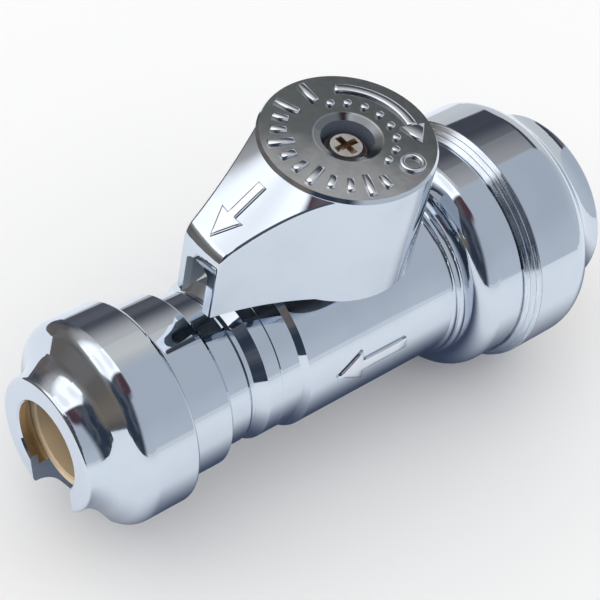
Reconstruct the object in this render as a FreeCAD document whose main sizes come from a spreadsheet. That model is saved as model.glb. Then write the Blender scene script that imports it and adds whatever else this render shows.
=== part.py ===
import FreeCAD, Part
import math
import os
import Sketcher
from types import SimpleNamespace

# Straight quarter-turn isolating valve with a push-fit socket at each end, in millimetres.
# The flow runs along X, the stem stands on +Z, and the origin is on the flow axis where the
# large tube stops. The lever lies along the flow, towards the small end, when the valve is open.

sizes = {
    # Flow path
    "waterway_r": 3.2,
    "stem_offset": 11.0,
    "small_stop_offset": 15.3,
    "slide_gap": 0.08,
    "running_gap": 0.05,
    "fit_gap": 0.02,
    # Ball, seats and retainer
    "ball_wall": 2.8,
    "ball_room": 0.6,
    "seat_back": 0.2,
    "seat_face": 1.7,
    "retainer_step": 0.7,
    "retainer_recess": 0.2,
    "retainer_key_flats": 7.6,
    "retainer_key_depth": 2.6,
    # Stem
    "stem_r": 3.6,
    "stem_flange_reach": 1.0,
    "stem_flange_thick": 1.2,
    "stem_lift": 0.1,
    "washer_thick": 0.7,
    "stem_ring_section": 1.5,
    "stem_ring_start": 1.1,
    "stem_ring_spacing": 2.9,
    "drive_flats": 4.8,
    "tang_thick": 2.2,
    "tang_length": 5.6,
    "tang_depth": 2.0,
    # Valve body
    "main_wall": 3.35,
    "main_reach": 8.1,
    "main_step": 0.6,
    "flange_length": 4.3,
    "score_offset": 1.8,
    "score_depth": 0.08,
    "flange_rise": 0.5,
    "flange_cone": 1.2,
    "groove_width": 0.35,
    "groove_depth": 0.4,
    "bead_width": 0.3,
    "bead_drop": 0.15,
    "shoulder_reach": 12.2,
    "shoulder_cove": 0.45,
    "shoulder_bead": 0.3,
    "shoulder_band": 0.7,
    "dome_length": 2.5,
    "boss_r": 6.0,
    "boss_height": 6.05,
    "stop_lug_width": 2.4,
    "stop_lug_reach": 1.3,
    "stop_lug_height": 3.0,
    # Lever handle
    "disc_r": 9.35,
    "handle_gap": 2.05,
    "handle_height": 14.3,
    "handle_wall": 1.0,
    "lever_length": 17.9,
    "lever_tip_width": 5.6,
    "lever_flare_r": 36,
    "lever_root_width": 12.8,
    "lever_step": 0.5,
    "lever_slope": 34,
    "lever_edge_round": 0.35,
    "tip_arch_width": 3.4,
    "tip_arch_height": 5.9,
    "tip_arch_crown": 2.05,
    "tip_round": 2.4,
    "rim_bevel": 0.42,
    "rim_lean": 60,
    "hub_wall": 1.3,
    "hub_lift": 0.6,
    "quarter_turn": 90,
    "stop_play": 1.0,
    "stop_rib_width": 2.0,
    # Handle screw
    "screw_r": 1.45,
    "screw_head_r": 2.25,
    "screw_head_height": 1.7,
    "screw_sink": 1.2,
    "screw_length": 7.5,
    "screw_well_gap": 0.55,
    "screw_web": 1.2,
    "dish_reach": 0.9,
    "dish_depth": 0.35,
    "cross_width": 0.75,
    "cross_span": 2.7,
    "cross_depth": 1.0,
    # Both push-fit ends
    "tube_grip": 0.22,
    "seal_room": 0.2,
    "tooth_lean": 25,
    "crimp_depth": 0.35,
    "crimp_length": 0.8,
    "lip_bevel": 0.4,
    "cap_slope": 56,
    # The two end caps
    "small_skirt_start": 2.7,
    "small_skirt_length": 5.7,
    "small_skirt_bevel": 0.5,
    "small_cap_rise": 1.6,
    "small_cap_length": 5.1,
    "small_shoulder_r": 2.2,
    "small_face": 19.5,
    "large_rim_start": 9.0,
    "large_rim_cone": 1.7,
    "large_cap_length": 5.7,
    "large_shoulder_r": 3.0,
    "large_face": 24.0,
    "rim_edge": 0.2,
    "rim_groove": 0.12,
    # Small push-fit end
    "small_tube_seat_r": 4.9,
    "small_seat_length": 5.2,
    "small_ring_section": 2.2,
    "small_spigot_wall": 1.82,
    "small_spacer_thick": 1.2,
    "small_grab_thick": 0.4,
    "small_tooth_reach": 1.7,
    "small_tooth_gap": 0.8,
    "small_tooth_count": 10,
    "small_support_thick": 1.2,
    "small_collar_wall": 0.85,
    "small_collar_flange": 1.2,
    "small_collar_travel": 1.2,
    "small_collar_setback": 1.25,
    "small_skirt_wall": 1.08,
    "small_nose_wall": 1.62,
    "small_lip_thick": 0.9,
    "small_slot_width": 7.1,
    "small_slot_depth": 5.2,
    "small_slot_turn": 18,
    # Large push-fit end
    "large_tube_seat_r": 8.1,
    "large_seat_length": 8.0,
    "large_ring_section": 2.8,
    "large_spigot_wall": 2.52,
    "large_spacer_thick": 1.5,
    "large_grab_thick": 0.5,
    "large_tooth_reach": 2.3,
    "large_tooth_gap": 1.0,
    "large_tooth_count": 14,
    "large_support_thick": 1.5,
    "large_collar_wall": 1.3,
    "large_collar_flange": 1.4,
    "large_collar_travel": 1.5,
    "large_collar_setback": 1.55,
    "large_skirt_wall": 1.23,
    "large_nose_wall": 1.07,
    "large_lip_thick": 1.2,
    "large_slot_width": 11.0,
    "large_slot_depth": 5.2,
    "large_slot_turn": -18,
}

doc = FreeCAD.newDocument("IsolatingValve")
sheet = doc.addObject("Spreadsheet::Sheet", "Sizes")
for row, (alias, value) in enumerate(sizes.items(), 1):
    sheet.set(f"A{row}", alias)
    sheet.set(f"B{row}", str(value))
    sheet.setAlias(f"B{row}", alias)


class Size:
    """A length or angle that keeps the expression it came from beside its value."""

    def __init__(self, text, value):
        self.text = text
        self.value = value

    def __add__(self, other):
        other = as_size(other)
        return Size(f"({self.text} + {other.text})", self.value + other.value)

    def __radd__(self, other):
        return as_size(other) + self

    def __sub__(self, other):
        other = as_size(other)
        return Size(f"({self.text} - {other.text})", self.value - other.value)

    def __rsub__(self, other):
        return as_size(other) - self

    def __mul__(self, other):
        other = as_size(other)
        return Size(f"({self.text} * {other.text})", self.value * other.value)

    __rmul__ = __mul__

    def __truediv__(self, other):
        other = as_size(other)
        return Size(f"({self.text} / {other.text})", self.value / other.value)

    def __neg__(self):
        return Size(f"(-1 * {self.text})", -self.value)

    def root(self):
        return Size(f"sqrt({self.text})", math.sqrt(self.value))

    def tangent(self):
        return Size(f"tan({self.text})", math.tan(math.radians(self.value)))

    def sine(self):
        return Size(f"sin({self.text})", math.sin(math.radians(self.value)))

    def cosine(self):
        return Size(f"cos({self.text})", math.cos(math.radians(self.value)))

    def arcsine(self):
        return Size(f"asin({self.text}) / 1 deg", math.degrees(math.asin(self.value)))


def as_size(number):
    return number if isinstance(number, Size) else Size(repr(number), number)


dim = SimpleNamespace(**{alias: Size(f"Sizes.{alias}", value) for alias, value in sizes.items()})

# Sizes that follow from those, measured from the crossing of the flow and stem axes
ball_r = dim.waterway_r + dim.ball_wall
chamber_r = ball_r + dim.ball_room
chamber_half = ball_r + dim.seat_back
main_r = chamber_r + dim.main_wall
stem_bore_r = dim.stem_r + dim.running_gap
stem_flange_r = dim.stem_r + dim.stem_flange_reach
stem_foot = chamber_r + dim.stem_lift
stem_ceiling = stem_foot + dim.stem_flange_thick + dim.washer_thick
boss_top = main_r + dim.boss_height
handle_bottom = main_r + dim.handle_gap
disc_top = handle_bottom + dim.handle_height
screw_seat = disc_top - dim.screw_sink - dim.screw_head_height
socket_top = screw_seat - dim.screw_web
stem_top = socket_top - 2 * dim.slide_gap
hub_bottom = boss_top + dim.hub_lift
small_stop_x = -(dim.stem_offset + dim.small_stop_offset)


class Socket:
    """Sizes of one push-fit end. Stations run outwards from the stop that the tube meets."""

    def __init__(self, name, turned):
        self.name = name
        self.turned = turned
        self.tube_seat_r = self.own("tube_seat_r")
        self.seat_length = self.own("seat_length")
        self.ring_section = self.own("ring_section")
        self.spacer_thick = self.own("spacer_thick")
        self.grab_thick = self.own("grab_thick")
        self.tooth_reach = self.own("tooth_reach")
        self.tooth_gap = self.own("tooth_gap")
        self.tooth_count = self.own("tooth_count")
        self.support_thick = self.own("support_thick")
        self.collar_flange = self.own("collar_flange")
        self.lip_thick = self.own("lip_thick")
        self.collar_setback = self.own("collar_setback")
        self.slot_width = self.own("slot_width")
        self.slot_depth = self.own("slot_depth")
        self.slot_turn = self.own("slot_turn")

        # Radii grow outwards from the tube: grip, seal, spigot, cap
        self.grip_r = self.tube_seat_r - dim.tube_grip
        self.pass_r = self.tube_seat_r + dim.running_gap
        self.pocket_r = self.grip_r + self.ring_section + dim.running_gap
        self.spigot_r = self.pocket_r + self.own("spigot_wall")
        self.cap_bore_r = self.spigot_r + dim.fit_gap
        self.stack_r = self.cap_bore_r - dim.running_gap
        self.skirt_r = self.cap_bore_r + self.own("skirt_wall")
        self.collar_r = self.pass_r + self.own("collar_wall")
        self.nose_bore_r = self.collar_r + dim.slide_gap
        self.nose_r = self.nose_bore_r + self.own("nose_wall")
        self.tooth_root_r = self.grip_r + self.tooth_reach

        # Stations along the stack: seal, spacer, grab ring, support, collar flange, cap shoulder
        travel = self.own("collar_travel")
        self.spigot_end = self.seat_length + self.ring_section + dim.seal_room
        self.grab_at = self.spigot_end + self.spacer_thick
        self.support_at = self.grab_at + self.grab_thick
        self.support_end = self.support_at + self.support_thick
        self.flange_at = self.support_end + travel + dim.slide_gap
        self.cap_shoulder = self.flange_at + self.collar_flange
        self.tooth_drop = self.tooth_reach * dim.tooth_lean.tangent()
        nose_lean = (self.tooth_root_r - self.pass_r) * dim.tooth_lean.tangent()
        self.collar_start = self.support_at - nose_lean + travel + 2 * dim.slide_gap
        self.collar_bevel = (self.collar_r - self.pass_r) * dim.tooth_lean.tangent()

    def own(self, word):
        return getattr(dim, f"{self.name}_{word}")

    def place(self, piece, start):
        stop = small_stop_x if self.turned else as_size(0)
        along = stop - start if self.turned else stop + start
        turn = FreeCAD.Rotation(FreeCAD.Vector(0, 0, 1), 180 if self.turned else 0)
        piece.Placement = FreeCAD.Placement(FreeCAD.Vector(0, 0, 0), turn)
        piece.setExpression("Placement.Base.x", along.text)


small = Socket("small", True)
large = Socket("large", False)
rim_rings = 3


def new_body(label):
    body = doc.addObject("PartDesign::Body", label)
    body.Label = label
    return body


def new_sketch(body, name, role):
    sketch = body.newObject("Sketcher::SketchObject", name)
    plane = next(item for item in body.Origin.OriginFeatures if item.Role == role)
    sketch.AttachmentSupport = [(plane, "")]
    sketch.MapMode = "FlatFace"
    return sketch


def pin(sketch, edge, point, across, up):
    """Ties one end of an edge to its distances from the sketch's origin."""
    for kind, axis, size in (("DistanceX", -2, as_size(across)), ("DistanceY", -1, as_size(up))):
        if abs(size.value) < 1e-9:
            sketch.addConstraint(Sketcher.Constraint("PointOnObject", edge, point, axis))
            continue
        row = sketch.addConstraint(Sketcher.Constraint(kind, -1, 1, edge, point, size.value))
        sketch.setExpression(f"Constraints[{row}]", size.text)


def outline(sketch, corners):
    """Closed loop of corners (across, up) or (across, up, arc radius, side), the arc running on
    to the next corner. Side +1 bulges to the left of the way round, and -1 to the right."""
    spots = [FreeCAD.Vector(as_size(c[0]).value, as_size(c[1]).value, 0) for c in corners]
    ends = []
    for number, corner in enumerate(corners):
        here = spots[number]
        there = spots[(number + 1) % len(spots)]
        if len(corner) == 2:
            edge = sketch.addGeometry(Part.LineSegment(here, there), False)
            ends.append((edge, 1, 2))
            continue
        radius, side = as_size(corner[2]), corner[3]
        chord = there - here
        left = FreeCAD.Vector(-chord.y, chord.x, 0).normalize()
        sagitta = radius.value - math.sqrt(radius.value ** 2 - (chord.Length / 2) ** 2)
        middle = (here + there) * 0.5 + left * (side * sagitta)
        edge = sketch.addGeometry(Part.Arc(here, middle, there), False)
        ends.append((edge, 2, 1) if side > 0 else (edge, 1, 2))
        row = sketch.addConstraint(Sketcher.Constraint("Radius", edge, radius.value))
        sketch.setExpression(f"Constraints[{row}]", radius.text)
    for number, corner in enumerate(corners):
        edge, first, last = ends[number]
        after, after_first, after_last = ends[(number + 1) % len(ends)]
        sketch.addConstraint(Sketcher.Constraint("Coincident", edge, last, after, after_first))
        pin(sketch, edge, first, corner[0], corner[1])


def circle(sketch, radius):
    ring = Part.Circle(FreeCAD.Vector(0, 0, 0), FreeCAD.Vector(0, 0, 1), radius.value)
    edge = sketch.addGeometry(ring, False)
    sketch.addConstraint(Sketcher.Constraint("Coincident", edge, 3, -1, 1))
    row = sketch.addConstraint(Sketcher.Constraint("Radius", edge, radius.value))
    sketch.setExpression(f"Constraints[{row}]", radius.text)


def box_corners(left, bottom, right, top):
    return [(left, bottom), (right, bottom), (right, top), (left, top)]


def revolve(body, corners, kind="Revolution", axis="H_Axis", name="Turned"):
    """Turns a section drawn on the XZ plane about X (H_Axis) or Z (V_Axis)."""
    sketch = new_sketch(body, f"{name}Section", "XZ_Plane")
    outline(sketch, corners)
    feature = body.newObject(f"PartDesign::{kind}", name)
    feature.Profile = sketch
    feature.ReferenceAxis = (sketch, [axis])
    feature.Angle = 360
    return feature


def lift_sketch(sketch, height, turn=None):
    """Moves a sketch along its plane's normal, and turns it in its plane."""
    spin = FreeCAD.Rotation(FreeCAD.Vector(0, 0, 1), turn.value if turn else 0)
    sketch.AttachmentOffset = FreeCAD.Placement(FreeCAD.Vector(0, 0, height.value), spin)
    sketch.setExpression("AttachmentOffset.Base.z", height.text)
    if turn:
        sketch.setExpression("AttachmentOffset.Rotation.Angle", turn.text)


def extrude(body, sketch, length, kind="Pad", reverse=False, name="Raised"):
    feature = body.newObject(f"PartDesign::{kind}", name)
    feature.Profile = sketch
    feature.setExpression("Length", length.text)
    feature.Reversed = reverse
    return feature


def polar(body, feature, axis, count, angle, name="Ring"):
    pattern = body.newObject("PartDesign::PolarPattern", name)
    pattern.Originals = [feature]
    pattern.Axis = axis
    pattern.setExpression("Angle", angle.text)
    pattern.setExpression("Occurrences", count.text)
    body.Tip = pattern
    return pattern


def edges_where(feature, test):
    """Names of the edges whose ends and middle all pass the test."""
    names = []
    for number, edge in enumerate(feature.Shape.Edges, 1):
        first, last = edge.ParameterRange
        spots = [edge.valueAt(first), edge.valueAt((first + last) / 2), edge.valueAt(last)]
        if all(test(spot) for spot in spots):
            names.append(f"Edge{number}")
    return names


def round_edges(body, test, radius, name):
    doc.recompute()
    base = body.Tip
    fillet = body.newObject("PartDesign::Fillet", name)
    fillet.Base = (base, edges_where(base, test))
    fillet.setExpression("Radius", radius.text)
    return fillet


def bevel_edges(body, test, across, down, name):
    doc.recompute()
    base = body.Tip
    bevel = body.newObject("PartDesign::Chamfer", name)
    bevel.Base = (base, edges_where(base, test))
    bevel.ChamferType = "Two distances"
    bevel.setExpression("Size", down.text)
    bevel.setExpression("Size2", across.text)
    return bevel


def stand_on_stem(piece, height=None):
    """Puts a piece drawn about the stem axis in its place along the flow."""
    piece.setExpression("Placement.Base.x", (-dim.stem_offset).text)
    if height:
        piece.setExpression("Placement.Base.z", height.text)


def tangent_radius(length, rise):
    """Radius of the arc that starts along a cylinder and leaves it by rise over length."""
    return (length * length + rise * rise) / (2 * rise)


# Valve body: one turned and bored casting with a boss for the stem
def valve_body():
    body = new_body("valve_body")
    stand_on_stem(body)
    spigot_face = -(dim.small_stop_offset + small.spigot_end)
    small_stop = as_size(0) - dim.small_stop_offset
    crimp_r = small.spigot_r - dim.crimp_depth - dim.running_gap
    crimp_start = small_stop - dim.small_skirt_start - dim.crimp_length - dim.running_gap
    crimp_end = small_stop - dim.small_skirt_start + dim.running_gap
    groove_r = small.spigot_r - dim.groove_depth
    bead_r = small.spigot_r - dim.bead_drop
    flange_r = small.spigot_r + dim.flange_rise
    main_start = as_size(0) - dim.main_reach
    flange_end = main_start - dim.main_step
    flange_start = flange_end - dim.flange_length
    cone_start = flange_start - dim.flange_cone
    bead_end = cone_start - dim.groove_width
    bead_start = bead_end - dim.bead_width
    neck_end = bead_start - dim.groove_width
    score = flange_start + dim.score_offset
    bead_step = dim.shoulder_reach + dim.shoulder_cove
    bead_step_r = main_r + dim.shoulder_cove
    band_step = bead_step + dim.shoulder_bead
    band_start = band_step + dim.shoulder_cove
    band_r = bead_step_r + dim.shoulder_cove
    band_end = band_start + dim.shoulder_band
    dome_end = band_end + dim.dome_length
    rim = dim.stem_offset + dim.large_rim_start - dim.running_gap
    rim_end = rim + dim.crimp_length + 2 * dim.running_gap
    rim_r = large.spigot_r - dim.crimp_depth - dim.running_gap
    large_face_in = dim.stem_offset + large.spigot_end
    retainer_r = large.tube_seat_r - dim.retainer_step
    outside = [
        (spigot_face, small.pocket_r), (spigot_face, small.spigot_r),
        (crimp_start, small.spigot_r), (crimp_start, crimp_r),
        (crimp_end, crimp_r), (crimp_end, small.spigot_r), (neck_end, small.spigot_r),
        (neck_end, groove_r), (bead_start, groove_r), (bead_start, bead_r),
        (bead_end, bead_r), (bead_end, groove_r), (cone_start, groove_r),
        (flange_start, flange_r), (score - dim.score_depth, flange_r),
        (score, flange_r - dim.score_depth), (score + dim.score_depth, flange_r),
        (flange_end, flange_r), (main_start, main_r),
        (dim.shoulder_reach, main_r, dim.shoulder_cove, -1), (bead_step, bead_step_r),
        (band_step, bead_step_r, dim.shoulder_cove, -1), (band_start, band_r),
        (band_end, band_r, tangent_radius(dim.dome_length, large.spigot_r - band_r), 1),
        (dome_end, large.spigot_r), (rim, large.spigot_r), (rim, rim_r),
        (rim_end, rim_r), (rim_end, large.spigot_r), (large_face_in, large.spigot_r),
    ]
    inside = [
        (large_face_in, large.pocket_r), (dim.stem_offset + large.seat_length, large.pocket_r),
        (dim.stem_offset + large.seat_length, large.tube_seat_r), (dim.stem_offset, large.tube_seat_r),
        (dim.stem_offset, retainer_r), (chamber_half, retainer_r), (chamber_half, chamber_r),
        (-chamber_half, chamber_r), (-chamber_half, dim.waterway_r), (small_stop, dim.waterway_r),
        (small_stop, small.tube_seat_r), (small_stop - small.seat_length, small.tube_seat_r),
        (small_stop - small.seat_length, small.pocket_r),
    ]
    revolve(body, outside + inside)

    boss_root = chamber_r + 0.15 * dim.main_wall
    boss = new_sketch(body, "BossSketch", "XY_Plane")
    lift_sketch(boss, boss_root)
    circle(boss, dim.boss_r)
    extrude(body, boss, boss_top - boss_root, name="Boss")

    lug = new_sketch(body, "StopLugSketch", "XY_Plane")
    lift_sketch(lug, boss_top - dim.stop_lug_height)
    half = dim.stop_lug_width / 2
    outline(lug, box_corners(0.7 * dim.boss_r, -half, dim.boss_r + dim.stop_lug_reach, half))
    extrude(body, lug, dim.stop_lug_height, name="StopLug")

    pocket_r = stem_flange_r + 2 * dim.slide_gap
    lead = 4 * dim.running_gap
    stem_bore = [
        (0, 0.5 * chamber_r), (pocket_r, 0.5 * chamber_r), (pocket_r, stem_ceiling),
        (stem_bore_r, stem_ceiling), (stem_bore_r, boss_top - lead), (stem_bore_r + lead, boss_top),
        (stem_bore_r + lead, boss_top + lead), (0, boss_top + lead),
    ]
    revolve(body, stem_bore, "Groove", "V_Axis", "StemBore")
    return body


# Ball, its two seats and the sleeve that screws in behind them
def ball():
    sphere = doc.addObject("Part::Sphere", "BallSphere")
    sphere.setExpression("Radius", ball_r.text)
    way = doc.addObject("Part::Cylinder", "BallWay")
    way.Placement.Rotation = FreeCAD.Rotation(FreeCAD.Vector(0, 1, 0), 90)
    way.setExpression("Radius", dim.waterway_r.text)
    way.setExpression("Height", (4 * ball_r).text)
    way.setExpression("Placement.Base.x", (-2 * ball_r).text)
    slot = doc.addObject("Part::Box", "BallSlot")
    slot_width = dim.tang_thick + 2 * dim.slide_gap
    slot.setExpression("Length", slot_width.text)
    slot.setExpression("Width", (2 * ball_r).text)
    slot.setExpression("Height", ball_r.text)
    slot.setExpression("Placement.Base.x", (-1 * slot_width / 2).text)
    slot.setExpression("Placement.Base.y", (-ball_r).text)
    slot.setExpression("Placement.Base.z", (ball_r - dim.tang_depth).text)
    bored = doc.addObject("Part::Cut", "BoredBall")
    bored.Base = sphere
    bored.Tool = way
    slotted = doc.addObject("Part::Cut", "ball")
    slotted.Label = "ball"
    slotted.Base = bored
    slotted.Tool = slot
    stand_on_stem(slotted)
    return slotted


def ball_seat(label, turned):
    body = new_body(label)
    cup_r = ball_r + dim.running_gap
    inner_at = chamber_half - (cup_r * cup_r - dim.waterway_r * dim.waterway_r).root()
    outer_r = dim.waterway_r + dim.seat_face
    outer_at = chamber_half - (cup_r * cup_r - outer_r * outer_r).root()
    rim_r = chamber_r - dim.running_gap
    revolve(body, [(0, dim.waterway_r), (inner_at, dim.waterway_r, cup_r, 1), (outer_at, outer_r),
                   (outer_at, rim_r), (0, rim_r)])
    turn = FreeCAD.Rotation(FreeCAD.Vector(0, 0, 1), 180 if turned else 0)
    body.Placement = FreeCAD.Placement(FreeCAD.Vector(0, 0, 0), turn)
    side = chamber_half if turned else -chamber_half
    body.setExpression("Placement.Base.x", (side - dim.stem_offset).text)
    return body


def ball_retainer():
    body = new_body("ball_retainer")
    body.setExpression("Placement.Base.x", (chamber_half - dim.stem_offset).text)
    length = dim.stem_offset - chamber_half - dim.retainer_recess
    sleeve_r = large.tube_seat_r - dim.retainer_step - dim.running_gap
    revolve(body, [(0, dim.waterway_r), (length, dim.waterway_r), (length, sleeve_r), (0, sleeve_r)])
    key = new_sketch(body, "KeySketch", "YZ_Plane")
    lift_sketch(key, length)
    flat = dim.retainer_key_flats / 2
    corner = dim.retainer_key_flats / as_size(3).root()
    half = corner / 2
    outline(key, [(corner, 0), (half, flat), (-half, flat), (-corner, 0), (-half, -flat), (half, -flat)])
    extrude(body, key, dim.retainer_key_depth, "Pocket", name="KeySocket")
    return body


# Stem with its seal rings and thrust washer
ring_groove = dim.stem_ring_section + 4 * dim.slide_gap
lower_ring_at = stem_ceiling + dim.stem_ring_start + ring_groove / 2
upper_ring_at = lower_ring_at + dim.stem_ring_spacing
stem_ring_r = stem_bore_r - dim.fit_gap - dim.stem_ring_section / 2


def stem():
    body = new_body("stem")
    stand_on_stem(body)
    tang_bottom = ball_r - dim.tang_depth + dim.slide_gap
    flange_top = stem_foot + dim.stem_flange_thick
    core_r = stem_ring_r - dim.stem_ring_section / 2 - dim.fit_gap
    grooves = []
    for at in (lower_ring_at, upper_ring_at):
        low, high = at - ring_groove / 2, at + ring_groove / 2
        grooves += [(dim.stem_r, low), (core_r, low), (core_r, high), (dim.stem_r, high)]
    bevel = dim.drive_flats / 10
    revolve(body, [(0, tang_bottom), (dim.tang_length / 2, tang_bottom), (dim.tang_length / 2, stem_foot),
                   (stem_flange_r, stem_foot), (stem_flange_r, flange_top), (dim.stem_r, flange_top)]
            + grooves
            + [(dim.stem_r, stem_top - bevel), (dim.stem_r - bevel, stem_top), (0, stem_top)], axis="V_Axis")

    tang = new_sketch(body, "TangSketch", "XY_Plane")
    lift_sketch(tang, tang_bottom)
    for side in (-1, 1):
        near, far = side * dim.tang_thick / 2, side * dim.tang_length
        left, right = (far, near) if side < 0 else (near, far)
        outline(tang, box_corners(left, -dim.tang_length, right, dim.tang_length))
    extrude(body, tang, stem_foot - tang_bottom, "Pocket", True, "TangFlats")

    drive = new_sketch(body, "DriveSketch", "XY_Plane")
    lift_sketch(drive, stem_top)
    half = dim.drive_flats / 2
    circle(drive, 2 * dim.stem_r)
    outline(drive, box_corners(-half, -half, half, half))
    extrude(body, drive, stem_top - boss_top - dim.hub_lift / 2, "Pocket", name="DriveSquare")

    tap = new_sketch(body, "TapSketch", "XY_Plane")
    lift_sketch(tap, stem_top)
    circle(tap, dim.screw_r + dim.fit_gap)
    extrude(body, tap, dim.screw_length - dim.screw_web, "Pocket", name="TappedHole")
    return body


def stem_ring(label, at):
    ring = doc.addObject("Part::Torus", label)
    ring.Label = label
    ring.setExpression("Radius1", stem_ring_r.text)
    ring.setExpression("Radius2", (dim.stem_ring_section / 2).text)
    stand_on_stem(ring, at)
    return ring


def thrust_washer():
    body = new_body("thrust_washer")
    low = stem_foot + dim.stem_flange_thick
    stand_on_stem(body, low)
    revolve(body, box_corners(stem_bore_r, 0, stem_flange_r, dim.washer_thick), axis="V_Axis")
    return body


# Lever handle: a hollow casting, open below, with a conical lever running off a flat disc
def lever_form(label, inset):
    """Solid form of the handle, or of its hollow when every face is moved in by inset."""
    body = new_body(label)
    low = handle_bottom - inset
    high = disc_top - inset
    round_r = dim.disc_r - inset
    reach = dim.lever_length - inset
    tip = dim.lever_tip_width / 2 - inset
    tip_x = (reach * reach - tip * tip).root()
    root = dim.lever_root_width / 2 - inset
    root_x = (round_r * round_r - root * root).root()
    flare_r = dim.lever_flare_r + inset
    lever = new_sketch(body, "LeverSketch", "XY_Plane")
    lift_sketch(lever, low)
    outline(lever, [(0, -root), (0, root), (-root_x, root, flare_r, 1), (-tip_x, tip, reach, -1),
                    (-tip_x, -tip, flare_r, 1), (-root_x, -root)])
    extrude(body, lever, high - low, name="Lever")
    disc = new_sketch(body, "DiscSketch", "XY_Plane")
    lift_sketch(disc, low)
    circle(disc, round_r)
    extrude(body, disc, high - low, name="Disc")

    slope = dim.lever_slope.tangent()
    clear = reach + dim.lever_tip_width
    crown = disc_top - dim.lever_step - inset * (slope * slope + 1).root() + inset * slope
    foot = crown - (clear - round_r) * slope
    above = disc_top + dim.handle_wall
    revolve(body, [(round_r, crown), (clear, foot), (clear, above), (round_r, above)],
            "Groove", "V_Axis", "LeverSlope")
    return body


def handle():
    body = lever_form("handle", as_size(0))
    stand_on_stem(body)
    core = lever_form("HandleCore", dim.handle_wall)
    hollow = body.newObject("PartDesign::Boolean", "Hollow")
    hollow.setObjects([core])
    hollow.Type = "Cut"
    above = disc_top + dim.handle_wall

    hub = new_sketch(body, "HubSketch", "XY_Plane")
    lift_sketch(hub, hub_bottom)
    circle(hub, dim.drive_flats / as_size(2).root() + dim.hub_wall)
    extrude(body, hub, disc_top - dim.handle_wall / 2 - hub_bottom, name="Hub")
    socket = new_sketch(body, "SocketSketch", "XY_Plane")
    lift_sketch(socket, hub_bottom)
    half = dim.drive_flats / 2 + dim.slide_gap
    outline(socket, box_corners(-half, -half, half, half))
    extrude(body, socket, socket_top - hub_bottom, "Pocket", True, "DriveSocket")

    well_r = dim.screw_head_r + dim.screw_well_gap
    shank_r = dim.screw_r + 2 * dim.slide_gap
    revolve(body, [(0, socket_top - dim.screw_web / 2), (shank_r, socket_top - dim.screw_web / 2),
                   (shank_r, screw_seat), (well_r, screw_seat), (well_r, disc_top - dim.dish_depth),
                   (well_r + dim.dish_reach, disc_top), (well_r + dim.dish_reach, above), (0, above)],
            "Groove", "V_Axis", "ScrewWell")

    rib_in = dim.boss_r + 4 * dim.slide_gap
    rib_half = dim.stop_rib_width / 2
    stop_turn = (rib_half / rib_in).arcsine() + (dim.stop_lug_width / (2 * rib_in)).arcsine() + dim.stop_play
    rib = new_sketch(body, "StopRibSketch", "XY_Plane")
    lift_sketch(rib, handle_bottom + dim.handle_wall, -stop_turn)
    outline(rib, box_corners(rib_in, -rib_half, dim.disc_r - dim.handle_wall / 2, rib_half))
    raised = extrude(body, rib, dim.handle_height - 1.5 * dim.handle_wall, name="StopRib")
    polar(body, raised, (rib, ["N_Axis"]), as_size(2), dim.quarter_turn + 2 * stop_turn, "StopRibs")

    arch = new_sketch(body, "TipArchSketch", "YZ_Plane")
    lift_sketch(arch, 2 * dim.handle_wall - dim.lever_length)
    side = dim.tip_arch_width / 2
    crown_r = dim.tip_arch_crown
    spring = handle_bottom + dim.tip_arch_height - crown_r + (crown_r * crown_r - side * side).root()
    outline(arch, [(-side, handle_bottom - dim.handle_wall), (side, handle_bottom - dim.handle_wall),
                   (side, spring, crown_r, -1), (-side, spring)])
    extrude(body, arch, 4 * dim.handle_wall, "Pocket", name="TipArch")

    slope = dim.lever_slope.tangent().value
    crown = (disc_top - dim.lever_step).value
    edge_side = 0.4 * dim.lever_tip_width.value
    tip_low = (handle_bottom + dim.tip_arch_height).value

    def on_tip(p):
        return abs(math.hypot(p.x, p.y) - dim.lever_length.value) < 1e-3 and p.z > tip_low

    def on_lever_edge(p):
        cone = crown - (math.hypot(p.x, p.y) - dim.disc_r.value) * slope
        return abs(p.z - cone) < 1e-3 and abs(p.y) > edge_side

    def on_rim(p):
        return abs(p.z - disc_top.value) < 1e-3 and abs(math.hypot(p.x, p.y) - dim.disc_r.value) < 1e-3

    round_edges(body, on_tip, dim.tip_round, "TipRound")
    round_edges(body, on_lever_edge, dim.lever_edge_round, "LeverEdges")
    bevel_edges(body, on_rim, dim.rim_bevel / dim.rim_lean.tangent(), dim.rim_bevel, "RimBevel")
    return body


# Screw that holds the handle down on the stem
def handle_screw():
    body = new_body("handle_screw")
    stand_on_stem(body, screw_seat - dim.screw_length)
    point = dim.screw_r / 3
    crown = dim.screw_head_height / 3
    top = dim.screw_length + dim.screw_head_height
    revolve(body, [(0, 0), (dim.screw_r - point, 0), (dim.screw_r, point), (dim.screw_r, dim.screw_length),
                   (dim.screw_head_r, dim.screw_length), (dim.screw_head_r, top - crown, crown, 1),
                   (dim.screw_head_r - crown, top), (0, top)], axis="V_Axis")
    cross = new_sketch(body, "CrossSketch", "XY_Plane")
    lift_sketch(cross, top)
    arm, half = dim.cross_span / 2, dim.cross_width / 2
    outline(cross, [(half, half), (half, arm), (-half, arm), (-half, half), (-arm, half), (-arm, -half),
                    (-half, -half), (-half, -arm), (half, -arm), (half, -half), (arm, -half), (arm, half)])
    extrude(body, cross, dim.cross_depth, "Pocket", name="CrossRecess")
    return body


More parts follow.
